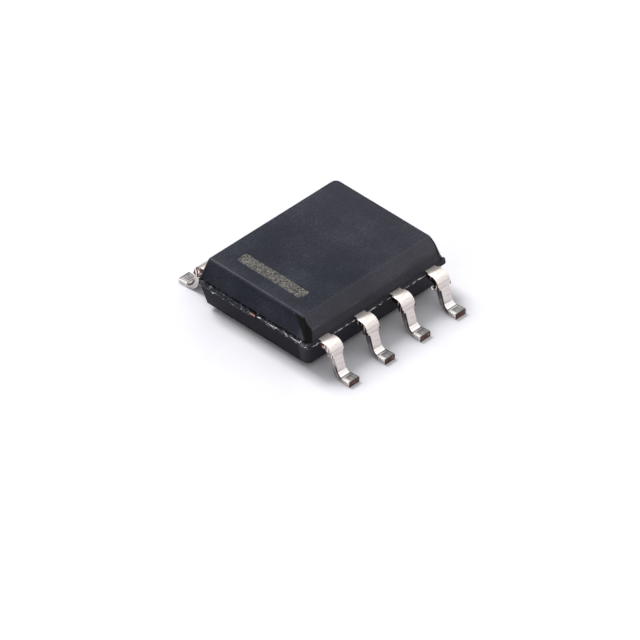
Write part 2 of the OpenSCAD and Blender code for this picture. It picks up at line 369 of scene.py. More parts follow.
def placed_mottle(tree, cloud_size, speckle_size):
    """The mottle, set into a material on its piece's own coordinates."""
    node = tree.nodes.new("ShaderNodeGroup")
    node.node_tree = cast_mottle
    spot = add(tree, "ShaderNodeTexCoord").outputs["Object"]
    tree.links.new(spot, node.inputs["Spot"])
    node.inputs["Cloud Size"].default_value = cloud_size
    node.inputs["Speckle Size"].default_value = speckle_size
    return node, spot


def maths(tree, operation, *values):
    """One sum on numbers or sockets."""
    return add(tree, "ShaderNodeMath", dict(enumerate(values)), operation=operation).outputs["Value"]


def rise_over(tree, value, low, high):
    """A mask that climbs smoothly from 0 at low to 1 at high."""
    return add(tree, "ShaderNodeMapRange", {"Value": value, "From Min": low, "From Max": high},
               interpolation_type="SMOOTHSTEP").outputs["Result"]


def bump(tree, height, strength, deep):
    """Fine relief after the value height, so many millimetres deep."""
    return add(tree, "ShaderNodeBump", {"Height": height, "Strength": strength,
                                        "Distance": deep * mm}).outputs["Normal"]


def tinted(tree, factor, under, over, way="MIX"):
    """The colour under, with the colour over laid on it where the mask says."""
    return add(tree, "ShaderNodeMix", {0: factor, 6: under, 7: over}, data_type="RGBA",
               blend_type=way).outputs[2]


corner_turn = mould.data.attributes.new("corner_turn", "FLOAT", "POINT")
for vertex in mould.data.vertices:
    across, along = vertex.normal.x, vertex.normal.y
    level = across ** 2 + along ** 2
    corner_turn.data[vertex.index].value = 4 * (across * along / level) ** 2 if level > 0.3 else 0

epoxy = new_material("moulded_epoxy")
tree = epoxy.node_tree
mottle, spot = placed_mottle(tree, 700.0, 26000.0)
place = add(tree, "ShaderNodeSeparateXYZ", {"Vector": spot})
far_x = maths(tree, "ABSOLUTE", place.outputs["X"])
height = place.outputs["Z"]
epoxy_colour = ramp(tree, mottle.outputs["Both"],
                    [(0.42, (0.0020, 0.0030, 0.0085)), (0.51, (0.0060, 0.0074, 0.0145)),
                     (0.60, (0.0170, 0.0190, 0.0275))])
# Painted bounce light: the long side by leads 1 to 4 is painted lighter and warmer, as if lit from the bright
# leads below it.
bounce_lit_side = rise_over(tree, place.outputs["Y"], -1.50 * mm, -1.60 * mm)
epoxy_colour = tinted(tree, bounce_lit_side, epoxy_colour, (0.0180, 0.0155, 0.0155, 1), "ADD")
# Painted shade: below the parting band the body is painted darker and bluer, less so on the side by leads 1
# to 4.
under_half = rise_over(tree, height, 0.82 * mm, 0.78 * mm)
lower_half_shade = maths(tree, "MULTIPLY", under_half, maths(tree, "MULTIPLY_ADD", bounce_lit_side, -0.55, 0.9))
epoxy_colour = tinted(tree, lower_half_shade, epoxy_colour, (0.0003, 0.0008, 0.0050, 1))
# Painted sheen: the roof and the bevel are painted lighter towards the +X end.
painted_sheen_right = maths(tree, "MULTIPLY", rise_over(tree, place.outputs["X"], -0.8 * mm, 2.3 * mm),
               rise_over(tree, height, 1.30 * mm, 1.35 * mm))
epoxy_colour = tinted(tree, painted_sheen_right, epoxy_colour, (0.0075, 0.0070, 0.0072, 1), "ADD")
bevel_depth = maths(tree, "MULTIPLY_ADD", place.outputs["Y"], bevel_face.y, -bevel_spot.dot(bevel_face))
bevel_depth = maths(tree, "MULTIPLY_ADD", height, bevel_face.z, bevel_depth)
# Painted reflection: the bevel is painted lighter, as if it mirrored the bright tent in front.
bevel_sheen = rise_over(tree, bevel_depth, -0.030 * mm, -0.012 * mm)
epoxy_colour = tinted(tree, bevel_sheen, epoxy_colour, (0.0100, 0.0110, 0.0130, 1), "ADD")
# Pale patches along the lower arris of the bevel: partly scuffs, partly a painted highlight on the edge.
scuff = add(tree, "ShaderNodeTexNoise", {"Vector": add(tree, "ShaderNodeMapping", {
    "Vector": spot, "Scale": (0.25, 1.0, 1.0)}).outputs["Vector"], "Scale": 7000.0,
                                         "Detail": 4.0}).outputs["Fac"]
lower_arris = rise_over(tree, maths(tree, "ABSOLUTE", maths(tree, "SUBTRACT", height, 1.275 * mm)),
                        0.060 * mm, 0.015 * mm)
lower_arris = maths(tree, "MULTIPLY", lower_arris,
                    rise_over(tree, place.outputs["Y"], -1.78 * mm, -1.80 * mm))
arris_scuffs_and_highlight = maths(tree, "MULTIPLY", lower_arris, rise_over(tree, scuff, 0.50, 0.68))
epoxy_colour = tinted(tree, arris_scuffs_and_highlight, epoxy_colour, (0.060, 0.058, 0.062, 1))
# The roof's rims at both ends are painted lighter in patches: partly edge wear, partly a painted highlight on
# the rounding.
rim_wear_and_highlight = maths(tree, "MULTIPLY", rise_over(tree, far_x, 2.215 * mm, 2.255 * mm),
                 rise_over(tree, height, 1.525 * mm, 1.555 * mm))
rim_wear_and_highlight = maths(tree, "MULTIPLY", rim_wear_and_highlight, maths(tree, "MULTIPLY_ADD", mottle.outputs["Both"], 3.0, -0.9))
epoxy_colour = tinted(tree, rim_wear_and_highlight, epoxy_colour, (0.0150, 0.0145, 0.0165, 1), "ADD")
# Painted dark reflection: the rounded upright corners, and at the ends the strip beside the bevel, are
# painted nearly black, as if they mirrored the dim side of the studio.
end_wall = rise_over(tree, maths(tree, "MULTIPLY_ADD", height, 0.268, far_x), 2.64 * mm, 2.67 * mm)
turned = add(tree, "ShaderNodeAttribute", attribute_name="corner_turn").outputs["Fac"]
beside_bevel = maths(tree, "MULTIPLY", rise_over(tree, bevel_depth, -0.23 * mm, -0.19 * mm),
                     rise_over(tree, bevel_depth, -0.012 * mm, -0.034 * mm))
painted_dark_corners = maths(tree, "MAXIMUM", rise_over(tree, turned, 0.02, 0.22),
                 maths(tree, "MULTIPLY", beside_bevel, end_wall))
painted_dark_corners = maths(tree, "MULTIPLY", painted_dark_corners, rise_over(tree, height, 0.95 * mm, 0.98 * mm))
painted_dark_corners = maths(tree, "MULTIPLY", painted_dark_corners, rise_over(tree, height, 1.575 * mm, 1.53 * mm))
epoxy_colour = tinted(tree, painted_dark_corners, epoxy_colour, (0.0002, 0.0002, 0.0003, 1))
crumble = add(tree, "ShaderNodeTexNoise", {"Vector": spot, "Scale": 9000.0, "Detail": 5.0, "Roughness": 0.7})
end_band = rise_over(tree, far_x, 2.38 * mm, 2.42 * mm)
# Painted shadow: a jagged dark crease is painted over the parting band at each end; the same mask also pits
# the relief. The chips below it are pale broken resin.
crease = maths(tree, "MULTIPLY_ADD", crumble.outputs["Fac"], 0.16 * mm, height)
crease = maths(tree, "ABSOLUTE", maths(tree, "SUBTRACT", crease, 1.050 * mm))
pits_and_crease_shade = maths(tree, "MULTIPLY", rise_over(tree, crease, 0.030 * mm, 0.016 * mm), end_band)
broken_edge = maths(tree, "MULTIPLY", rise_over(tree, height, 0.77 * mm, 0.79 * mm),
                    rise_over(tree, height, 1.00 * mm, 0.96 * mm))
broken_edge = maths(tree, "MULTIPLY", broken_edge, end_band)
chips = maths(tree, "MULTIPLY", broken_edge, rise_over(tree, crumble.outputs["Fac"], 0.55, 0.61))
epoxy_colour = tinted(tree, pits_and_crease_shade, epoxy_colour, (0.0002, 0.0002, 0.0003, 1))
epoxy_colour = tinted(tree, chips, epoxy_colour, (0.135, 0.138, 0.150, 1))
epoxy_rough = add(tree, "ShaderNodeMapRange", {"Value": mottle.outputs["Both"], "To Min": 0.42,
                                               "To Max": 0.58})
epoxy_rough = maths(tree, "MAXIMUM", epoxy_rough.outputs["Result"], maths(tree, "MAXIMUM", chips, pits_and_crease_shade))
relief = maths(tree, "MULTIPLY_ADD", maths(tree, "MULTIPLY", broken_edge, crumble.outputs["Fac"]), 6.0,
               maths(tree, "MULTIPLY_ADD", pits_and_crease_shade, -3.0, mottle.outputs["Speckle"]))
grain_bump = bump(tree, relief, 0.25, 0.006)
sheen = maths(tree, "MULTIPLY_ADD", maths(tree, "MULTIPLY", under_half,
                                          maths(tree, "SUBTRACT", 1.0, bounce_lit_side)), -0.05, 0.145)
finish_material(epoxy, Base_Color=epoxy_colour, Roughness=epoxy_rough,
                Normal=grain_bump, Specular_IOR_Level=sheen)
mould.data.materials.clear()
mould.data.materials.append(epoxy)

burnt = new_material("laser_burnt_epoxy")
tree = burnt.node_tree
spot = add(tree, "ShaderNodeTexCoord").outputs["Object"]
worm = add(tree, "ShaderNodeTexNoise", {"Vector": spot, "Scale": 12000.0, "Detail": 5.0, "Roughness": 0.7,
                                        "Distortion": 1.6})
burnt_colour = ramp(tree, worm.outputs["Fac"],
                    [(0.40, (0.002, 0.002, 0.003)), (0.46, (0.011, 0.0108, 0.0105)),
                     (0.53, (0.060, 0.057, 0.051)),
                     (0.61, (0.140, 0.130, 0.112)), (0.67, (0.008, 0.0078, 0.0075))])
burnt_bump = bump(tree, worm.outputs["Fac"], 0.8, 0.02)
finish_material(burnt, Base_Color=burnt_colour, Roughness=0.85, Normal=burnt_bump)
mould.data.materials.append(burnt)
for face in mould.data.polygons:
    middle = face.center / mm
    in_bar = (abs(middle.x - bar_middle[0]) < bar_width / 2 + 0.03
              and abs(middle.y - bar_middle[1]) < bar_length / 2 + 0.03)
    face.material_index = 1 if in_bar and 1.5 < middle.z < 1.5999 else 0
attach(mould, "root")
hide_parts("mould_body")


# ---------------------------------------------------------------- moulding flash
# A fin of resin, a few hundredths of a millimetre thick, that crept between the
# mould halves and was broken off, which leaves a ragged pale edge round the body.
flash_out, flash_out_long = 0.006, 0.014
flash_thick = 0.020
flash_level = 0.835

flash = sheet_of(band_length + 2 * flash_out, band_width + 2 * flash_out_long, flash_level)
flash.name = "parting_flash"
round_corners(band_corner + flash_out, 3)
pick(flash, "edges", lambda e: e.calc_length() > 1 * mm)
bpy.ops.mesh.subdivide(number_cuts=120)
pick(flash, "verts", lambda v: abs(v.co.x) > band_end_from * mm)
bpy.ops.transform.vertex_random(offset=0.012 * mm, seed=21)
for step, lift in ((5, 0.022), (7, -0.026), (11, 0.034)):
    pick(flash, "verts", lambda v: abs(v.co.x) > band_end_from * mm and v.index % step == 0)
    bpy.ops.transform.translate(value=(0, 0, lift * mm))
pick(flash, "verts", lambda v: v.co.x < -band_end_from * mm and -1.8 * mm < v.co.y < -0.12 * mm)
bpy.ops.transform.translate(value=(0, 0, 0.05 * mm))
pick(flash, "verts", lambda v: v.co.x < -band_end_from * mm and v.co.y > 0.12 * mm)
bpy.ops.transform.translate(value=(0, 0, -0.05 * mm))
pick(flash, "verts", lambda v: abs(v.co.y) > band_side_from * mm and abs(v.co.x) < band_end_from * mm)
bpy.ops.transform.vertex_random(offset=0.010 * mm, seed=22)
for step, lift in ((5, 0.016), (8, -0.020), (13, 0.028)):
    pick(flash, "verts", lambda v: abs(v.co.y) > band_side_from * mm and v.index % step == 0)
    bpy.ops.transform.translate(value=(0, 0, lift * mm))
bpy.ops.mesh.select_mode(type="FACE")
bpy.ops.mesh.select_all(action="SELECT")
bpy.ops.mesh.inset(thickness=0.06 * mm, use_boundary=True)
bpy.ops.mesh.delete(type="FACE")
bpy.ops.mesh.select_all(action="SELECT")
bpy.ops.mesh.extrude_region_move(TRANSFORM_OT_translate={"value": (0, 0, flash_thick * mm)})
bpy.ops.mesh.select_all(action="SELECT")
bpy.ops.mesh.normals_make_consistent(inside=False)
bpy.ops.object.mode_set(mode="OBJECT")
torn = new_material("torn_resin")
tree = torn.node_tree
mottle, spot = placed_mottle(tree, 5500.0, 30000.0)
place = add(tree, "ShaderNodeSeparateXYZ", {"Vector": spot})
worn_off = maths(tree, "MULTIPLY", rise_over(tree, place.outputs["Y"], 0.05 * mm, 0.3 * mm),
                 rise_over(tree, maths(tree, "ABSOLUTE", place.outputs["X"]), 2.40 * mm, 2.42 * mm))
torn_share = maths(tree, "MULTIPLY_ADD", worn_off, -0.12, mottle.outputs["Cloud"])
torn_share = maths(tree, "MULTIPLY_ADD", rise_over(tree, place.outputs["Y"], 1.8 * mm, 1.9 * mm), -0.07,
                   torn_share)
torn_colour = ramp(tree, torn_share,
                   [(0.41, (0.010, 0.011, 0.015)), (0.47, (0.13, 0.13, 0.132)), (0.55, (0.66, 0.65, 0.63))])
torn_bump = bump(tree, mottle.outputs["Both"], 0.6, 0.01)
finish_material(torn, Base_Color=torn_colour, Roughness=0.5, Normal=torn_bump)
flash.data.materials.append(torn)
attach(flash, "root")


# ---------------------------------------------------------------- leads
# Copper strip, stamped from the lead frame, plated after moulding and bent into
# gull wings. The dam bars between the leads and the toes were sheared off after
# plating, so copper shows there. Inside, each ends in a finger for its wire.
strip_thick = 0.15
strip_middle = 0.88
lead_wide, waist_wide, sole_wide, toe_wide = 0.35, 0.285, 0.340, 0.366
dam_wide = 0.44
dam_start = -2.03
wall = -1.94
plated_from = -1.90
limb_root = -1.66
knee = (-2.166, 0.705)
heel = (-2.73, 0.33)
knee_outside, knee_mid, heel_inside, heel_mid = 0.25, 0.175, 0.18, 0.255
bend = math.radians(73)
shank_down = Vector((-math.sin(math.radians(17)), -math.cos(math.radians(17))))
shank_length = 0.5235
dam_past_knee = 0.14
dam_flare, waist_flare = 0.012, 0.03
sole_length = 0.27
stamped_edge = 0.026
row_x = (-1.905, -0.635, 0.635, 1.905)
strip_reach = 1.6


def widen(times):
    """Widens the picked end face about the lead's middle."""
    bpy.ops.transform.resize(value=(times, 1, 1), center_override=(0, 0, 0))


def draw_out(along_y, along_z, wide=1.0):
    """Draws the picked end face out of the strip and widens it."""
    bpy.ops.mesh.extrude_region_move(
        TRANSFORM_OT_translate={"value": (0, along_y * mm, along_z * mm)})
    if wide != 1.0:
        widen(wide)


def bend_round(centre, way, steps, turn=bend):
    """Bends the strip on round a centre, down for way -1 and level again for way 1."""
    bpy.ops.mesh.spin(steps=steps, angle=turn, axis=(way, 0, 0),
                      center=(0, centre[0] * mm, centre[1] * mm))


def formed_lead(name):
    """The strip from inside the wall, over the shoulder and down to the toe."""
    nothing_picked()
    bpy.ops.mesh.primitive_plane_add(size=1)
    bpy.ops.object.mode_set(mode="EDIT")
    piece = bpy.context.object
    piece.name = name
    pick(piece, "verts", lambda v: v.co.y > 0)
    bpy.ops.transform.translate(value=(0, -0.5, 0.5))
    pick(piece, "verts", lambda v: v.co.y < -0.25)
    bpy.ops.transform.translate(value=(0, 0.5, -0.5))
    bpy.ops.mesh.select_mode(type="FACE")
    bpy.ops.mesh.select_all(action="SELECT")
    bpy.ops.transform.resize(value=(lead_wide * mm, 1, strip_thick * mm), center_override=(0, 0, 0))
    bpy.ops.transform.translate(value=(0, limb_root * mm, strip_middle * mm))
    draw_out(plated_from - limb_root, 0)
    draw_out(dam_start - plated_from, 0)
    draw_out(-dam_flare, 0, dam_wide / lead_wide)
    draw_out(knee[0] - dam_start + dam_flare, 0)
    bend_round(knee, -1, 8)
    draw_out(*(shank_down * dam_past_knee))
    draw_out(*(shank_down * waist_flare), waist_wide / dam_wide)
    draw_out(*(shank_down * (shank_length - dam_past_knee - waist_flare)))
    for part in range(4):
        bend_round(heel, 1, 2, bend / 4)
        widen((sole_wide / waist_wide) ** 0.25)
    draw_out(-sole_length, 0, toe_wide / sole_wide)
    return piece


def finger_face(piece):
    """Picks the strip's inner end."""
    pick(piece, "faces", lambda f: f.normal.y > 0.9 and centre_of(f).y > limb_root - 0.01
         and centre_of(f).z > 0.8)


def along_strip(y, z):
    """How far along its strip, in millimetres from the wall, a place on the lead lies."""
    if y > knee[0]:
        return wall - y
    turn = math.atan2(-(y - knee[0]), z - knee[1])
    knee_end = wall - knee[0] + knee_mid * bend
    if 0 <= turn < bend and z > knee[1] - 0.05:
        return wall - knee[0] + knee_mid * turn
    fall = Vector((y - knee[0], z - knee[1])).dot(shank_down)
    if fall < shank_length:
        return knee_end + max(fall, 0)
    heel_end = knee_end + shank_length + heel_mid * bend
    if y > heel[0]:
        rise = math.atan2(y - heel[0], heel[1] - z)
        return heel_end - heel_mid * rise
    return heel_end + heel[0] - y


def depth_in_strip(y, z):
    """How deep under the strip's upper side a place on the lead lies, in millimetres."""
    if y > knee[0]:
        return strip_middle + strip_thick / 2 - z
    turn = math.atan2(-(y - knee[0]), z - knee[1])
    if turn < bend and z > knee[1] - 0.05:
        return knee_outside - math.hypot(y - knee[0], z - knee[1])
    if Vector((y - knee[0], z - knee[1])).dot(shank_down) < shank_length:
        return knee_outside + Vector((y - knee[0], z - knee[1])).dot(Vector((-shank_down.y, shank_down.x)))
    if y > heel[0]:
        return math.hypot(y - heel[0], z - heel[1]) - heel_inside
    return strip_thick - z


def finish_lead(piece):
    """Softens the stamped edges, lays out the strip's own map and marks its sheared ends."""
    for low, high, swell in ((0.60, 0.80, 0.016), (0.18, 0.60, 0.042), (0.10, 0.18, 0.034),
                             (0.05, 0.10, 0.020)):
        pick(piece, "verts", lambda v: v.co.y < -2.2 * mm and low <= centre_of(v).z < high
             and depth_in_strip(centre_of(v).y, centre_of(v).z) > 0.1)
        bpy.ops.transform.translate(value=(0, swell * mm, 0))
    bpy.ops.mesh.select_mode(type="FACE")
    bpy.ops.mesh.select_all(action="SELECT")
    bpy.ops.mesh.remove_doubles(threshold=1e-8)
    bpy.ops.mesh.normals_make_consistent(inside=False)
    bpy.ops.object.mode_set(mode="OBJECT")
    hold(piece)
    soften = piece.modifiers.new("stamped_edge", "BEVEL")
    soften.width = stamped_edge * mm
    soften.segments = 3
    soften.limit_method = "ANGLE"
    soften.angle_limit = math.radians(40)
    bpy.ops.object.modifier_apply(modifier=soften.name)
    bpy.ops.object.shade_smooth_by_angle(angle=math.radians(50))
    strip_depth = piece.data.attributes.new("strip_depth", "FLOAT", "POINT")
    for vertex in piece.data.vertices:
        strip_depth.data[vertex.index].value = depth_in_strip(vertex.co.y / mm,
                                                              vertex.co.z / mm) / strip_thick
    strip = piece.data.uv_layers.new(name="strip")
    for face in piece.data.polygons:
        middle, facing = face.center / mm, face.normal
        for corner in face.loop_indices:
            place = piece.data.vertices[piece.data.loops[corner].vertex_index].co / mm
            strip.data[corner].uv = (place.x, along_strip(place.y, place.z))
        if middle.y > plated_from:
            face.material_index = 3
        elif middle.y < -2.99 and facing.y < -0.9:
            face.material_index = 2
        elif abs(middle.x) > 0.212 and abs(facing.x) > 0.9:
            face.material_index = 2
        elif abs(facing.x) > 0.9:
            face.material_index = 1
        else:
            face.material_index = 0


def strip_map(tree):
    """The strip's own map: across it and along it, in millimetres."""
    return add(tree, "ShaderNodeUVMap", uv_map="strip").outputs["UV"]


def strip_streaks(tree, across, along, slant=0.18):
    """Fine noise drawn out over the strip, on the strip's own map."""
    drawn = add(tree, "ShaderNodeMapping", {"Vector": strip_map(tree), "Scale": (across, along, 1.0),
                                            "Rotation": (0, 0, slant)})
    return add(tree, "ShaderNodeTexNoise", {"Vector": drawn.outputs["Vector"], "Scale": 1.0, "Detail": 5.0,
                                            "Roughness": 0.62}).outputs["Fac"]


plating = new_material("bright_plating")
tree = plating.node_tree
strip = strip_map(tree)
along = add(tree, "ShaderNodeSeparateXYZ", {"Vector": strip}).outputs["Y"]
share = add(tree, "ShaderNodeMath", {0: along, 1: 1 / strip_reach}, operation="MULTIPLY").outputs["Value"]
# Painted light along the strip: painted shade greys the shoulder by the wall, painted highlights lie over the
# knee and the heel, the shank is darker, painted dark lines mark where the knee and the heel end, and a dark
# line runs along the toe's top edge.
painted_light_bands = ramp(tree, share, [(0.00, (0.62, 0.585, 0.555)), (0.12, (0.74, 0.70, 0.665)),
                           (0.15, (0.98, 0.915, 0.875)),
                           (0.266, (0.97, 0.90, 0.86)), (0.279, (0.50, 0.46, 0.44)),
                           (0.293, (0.69, 0.63, 0.605)),
                           (0.632, (0.655, 0.60, 0.58)), (0.652, (1.0, 0.975, 0.955)),
                           (0.782, (1.0, 0.975, 0.955)),
                           (0.792, (0.06, 0.055, 0.052)), (0.806, (0.06, 0.055, 0.052)),
                           (0.814, (0.66, 0.64, 0.625)),
                           (0.965, (0.62, 0.60, 0.585)), (0.974, (0.08, 0.076, 0.073))])
cross = strip_streaks(tree, 2.0, 13.0)
lengthwise = strip_streaks(tree, 60.0, 4.0)
streak_tone = ramp(tree, cross, [(0.34, (0.76, 0.73, 0.72)), (0.46, (0.95, 0.94, 0.93)),
                                 (0.60, (1.0, 1.0, 1.0))])
plating_colour = tinted(tree, 1.0, painted_light_bands, streak_tone, "MULTIPLY")
sideways = add(tree, "ShaderNodeSeparateXYZ", {"Vector": strip}).outputs["X"]
beside = maths(tree, "ABSOLUTE", sideways)
# Painted shade in the nick at the end of each dam stub.
stub_nick_shade = maths(tree, "MULTIPLY", rise_over(tree, beside, 0.180, 0.200),
                  rise_over(tree, maths(tree, "ABSOLUTE", maths(tree, "SUBTRACT", along, 0.555)), 0.050,
                            0.030))
plating_colour = tinted(tree, stub_nick_shade, plating_colour, (0.10, 0.088, 0.084, 1))
spot = add(tree, "ShaderNodeTexCoord").outputs["Object"]
# Painted shade: the back row's leads are painted duller over the shoulder, the knee and the foot than the
# front row's.
back_row = rise_over(tree, add(tree, "ShaderNodeSeparateXYZ", {"Vector": spot}).outputs["Y"], -0.1 * mm,
                     0.1 * mm)
back_row_shade = maths(tree, "ADD", rise_over(tree, share, 0.34, 0.24),
                  maths(tree, "MULTIPLY", rise_over(tree, share, 0.70, 0.80), 1.0))
plating_colour = tinted(tree, maths(tree, "MULTIPLY", back_row, back_row_shade), plating_colour,
                        (0.52, 0.50, 0.49, 1), "MULTIPLY")
# Painted reflection: the top of the foot is painted dark streaky grey, as if it mirrored the dark body, with
# darker lines at its two ends; its -X edge keeps the bright plating.
foot_streaks = strip_streaks(tree, 8.0, 1.6, 0.0)
foot_dark_reflection = ramp(tree, foot_streaks, [(0.36, (0.17, 0.164, 0.160)), (0.50, (0.29, 0.280, 0.275)),
                                      (0.64, (0.55, 0.53, 0.515))])
foot_end_dark = maths(tree, "MAXIMUM", rise_over(tree, share, 0.862, 0.845),
                      rise_over(tree, share, 0.950, 0.968))
foot_dark_reflection = tinted(tree, maths(tree, "MULTIPLY", foot_end_dark, 0.5), foot_dark_reflection, (0.05, 0.047, 0.045, 1))
on_foot = maths(tree, "MULTIPLY", rise_over(tree, share, 0.832, 0.838),
                rise_over(tree, sideways, -0.135, -0.070))
plating_colour = tinted(tree, on_foot, plating_colour, foot_dark_reflection)
# Painted dark reflection along the +X arris from the lower shank to the toe, and across the toe's top edge.
far_arris_dark_reflection = maths(tree, "MULTIPLY", rise_over(tree, sideways, 0.142, 0.156),
                  rise_over(tree, share, 0.56, 0.72))
far_arris_dark_reflection = maths(tree, "MAXIMUM", far_arris_dark_reflection, rise_over(tree, share, 0.955, 0.963))
plating_colour = tinted(tree, far_arris_dark_reflection, plating_colour, (0.09, 0.084, 0.080, 1))
plating_rough = add(tree, "ShaderNodeMapRange", {"Value": lengthwise, "To Min": 0.14, "To Max": 0.30})
shoulder_rough = add(tree, "ShaderNodeMapRange", {"Value": share, "From Min": 0.13, "From Max": 0.17,
                                                  "To Min": 0.5, "To Max": 0.0})
plating_rough = maths(tree, "MAXIMUM", plating_rough.outputs["Result"], shoulder_rough.outputs["Result"])
foot_rough = maths(tree, "MULTIPLY", rise_over(tree, share, 0.74, 0.79), 0.34)
plating_rough = maths(tree, "MAXIMUM", plating_rough, foot_rough)
flat_of_strip = maths(tree, "MULTIPLY", rise_over(tree, beside, 0.155, 0.120),
                      rise_over(tree, share, 0.80, 0.74))
plating_bump = bump(tree, cross, maths(tree, "MULTIPLY", flat_of_strip, 0.08), 0.005)
finish_material(plating, Base_Color=plating_colour, Metallic=1.0, Roughness=plating_rough,
                Normal=plating_bump)

plated_side = new_material("plated_stamped_side")
tree = plated_side.node_tree
mottle, spot = placed_mottle(tree, 9000.0, 40000.0)
depth = add(tree, "ShaderNodeAttribute", attribute_name="strip_depth").outputs["Fac"]
slow = add(tree, "ShaderNodeTexNoise", {"Vector": spot, "Scale": 2600.0, "Detail": 2.0}).outputs["Fac"]
wandering = maths(tree, "MULTIPLY_ADD", slow, 0.9, depth)
# Painted reflection: the stamped sides are painted in light and dark bands through the strip's thickness,
# wandering with noise, like the shadowed floor and neighbouring leads mirrored in them; a painted highlight
# runs along the upper edge.
side_colour = ramp(tree, maths(tree, "MULTIPLY", wandering, 0.6),
                   [(0.26, (0.78, 0.74, 0.71)), (0.33, (0.16, 0.145, 0.14)), (0.50, (0.06, 0.055, 0.055)),
                    (0.58, (0.52, 0.49, 0.47)), (0.72, (0.72, 0.68, 0.655)), (0.80, (0.34, 0.32, 0.31)),
                    (0.90, (0.62, 0.585, 0.565))])
side_grain = ramp(tree, mottle.outputs["Both"], [(0.38, (0.62, 0.60, 0.60)), (0.60, (1.0, 1.0, 1.0))])
side_colour = tinted(tree, 1.0, side_colour, side_grain, "MULTIPLY")
strip = strip_map(tree)
side_along = add(tree, "ShaderNodeSeparateXYZ", {"Vector": strip}).outputs["Y"]
# Away from the heel the side takes one silver tone instead of the painted bands.
silver_side_share = maths(tree, "MULTIPLY", rise_over(tree, side_along, 0.76, 0.94),
                  rise_over(tree, side_along, 1.34, 1.22))
silver_side_share = maths(tree, "SUBTRACT", 1.0, silver_side_share)
side_place = add(tree, "ShaderNodeSeparateXYZ", {"Vector": spot})
# Painted shade: on every lead but 1 and 8 that silver side is painted dark down to the heel, as if shadowed
# by the next lead.
inner_lead_shade = rise_over(tree, side_place.outputs["X"], -1.65 * mm, -1.2 * mm)
inner_lead_shade = maths(tree, "MULTIPLY", inner_lead_shade, rise_over(tree, side_along, 1.36, 1.24))
side_silver = tinted(tree, inner_lead_shade, (0.74, 0.70, 0.67, 1), (0.20, 0.188, 0.182, 1))
side_silver = tinted(tree, 1.0, side_silver, side_grain, "MULTIPLY")
side_colour = tinted(tree, maths(tree, "MULTIPLY", silver_side_share, 0.85), side_colour, side_silver)
# Painted highlight: a bright arris is painted along the upper edge of the foot's side.
foot_arris_highlight = maths(tree, "MULTIPLY", rise_over(tree, depth, 0.34, 0.20),
                   rise_over(tree, side_along, 1.24, 1.34))
side_colour = tinted(tree, foot_arris_highlight, side_colour, (1.0, 0.975, 0.955, 1))
side_rough = maths(tree, "MULTIPLY_ADD", foot_arris_highlight, 0.30, 0.22)
side_bump = bump(tree, mottle.outputs["Both"], 0.4, 0.01)
finish_material(plated_side, Base_Color=side_colour, Metallic=1.0, Roughness=side_rough,
                Normal=side_bump)

sheared = new_material("sheared_copper")
tree = sheared.node_tree
mottle, spot = placed_mottle(tree, 5000.0, 30000.0)
sheared_colour = ramp(tree, mottle.outputs["Both"],
                      [(0.38, (0.030, 0.012, 0.011)), (0.50, (0.13, 0.042, 0.036)),
                       (0.58, (0.26, 0.105, 0.09)), (0.66, (0.60, 0.50, 0.47))])
place = add(tree, "ShaderNodeSeparateXYZ", {"Vector": spot})
strip = strip_map(tree)
beside = maths(tree, "ABSOLUTE", add(tree, "ShaderNodeSeparateXYZ", {"Vector": strip}).outputs["X"])
toe_rim = maths(tree, "MAXIMUM", rise_over(tree, place.outputs["Z"], 0.118 * mm, 0.128 * mm),
                rise_over(tree, place.outputs["Z"], 0.030 * mm, 0.020 * mm))
toe_rim = maths(tree, "MAXIMUM", toe_rim, rise_over(tree, beside, 0.145, 0.155))
toe_rim = maths(tree, "MULTIPLY", toe_rim, rise_over(tree, place.outputs["Z"], 0.3 * mm, 0.2 * mm))
sheared_colour = tinted(tree, toe_rim, sheared_colour, (0.035, 0.028, 0.027, 1))
dam_scar = rise_over(tree, place.outputs["Z"], 0.3 * mm, 0.4 * mm)
row_end = rise_over(tree, maths(tree, "ABSOLUTE", place.outputs["X"]), 2.0 * mm, 2.1 * mm)
by_wall = rise_over(tree, maths(tree, "ABSOLUTE", place.outputs["Y"]), 2.24 * mm, 2.15 * mm)
front_row = rise_over(tree, place.outputs["Y"], 0.1 * mm, -0.1 * mm)
# Painted shade: the sheared dam scars are painted nearly black, least at the ends of the rows and most of all
# in the front row.
stub_shade = maths(tree, "MULTIPLY", maths(tree, "MULTIPLY", row_end,
                                        maths(tree, "MULTIPLY_ADD", front_row, 0.55, 0.25)), -1.0)
stub_shade = maths(tree, "MULTIPLY", dam_scar, maths(tree, "ADD", stub_shade, 0.93))
sheared_colour = tinted(tree, stub_shade, sheared_colour, (0.016, 0.013, 0.013, 1))
drawn_over = maths(tree, "MULTIPLY", maths(tree, "MULTIPLY", dam_scar, row_end),
                   maths(tree, "SUBTRACT", 1.0, by_wall))
drawn_over = maths(tree, "MULTIPLY", drawn_over, front_row)
scar_silver = ramp(tree, mottle.outputs["Both"], [(0.42, (0.05, 0.045, 0.043)), (0.50, (0.30, 0.28, 0.27)),
                                                  (0.58, (0.62, 0.59, 0.57))])
sheared_colour = tinted(tree, drawn_over, sheared_colour, scar_silver)
shear_lines = add(tree, "ShaderNodeTexNoise", {"Vector": add(tree, "ShaderNodeMapping", {
    "Vector": spot, "Scale": (0.3, 1.0, 0.2)}).outputs["Vector"], "Scale": 16000.0,
                                               "Detail": 2.0}).outputs["Fac"]
smear = maths(tree, "MULTIPLY", dam_scar, rise_over(tree, shear_lines, 0.56, 0.62))
sheared_colour = tinted(tree, smear, sheared_colour, (0.80, 0.66, 0.61, 1))
sheared_bump = bump(tree, mottle.outputs["Both"], 0.5, 0.012)
finish_material(sheared, Base_Color=sheared_colour, Metallic=0.75, Roughness=0.38,
                Normal=sheared_bump)

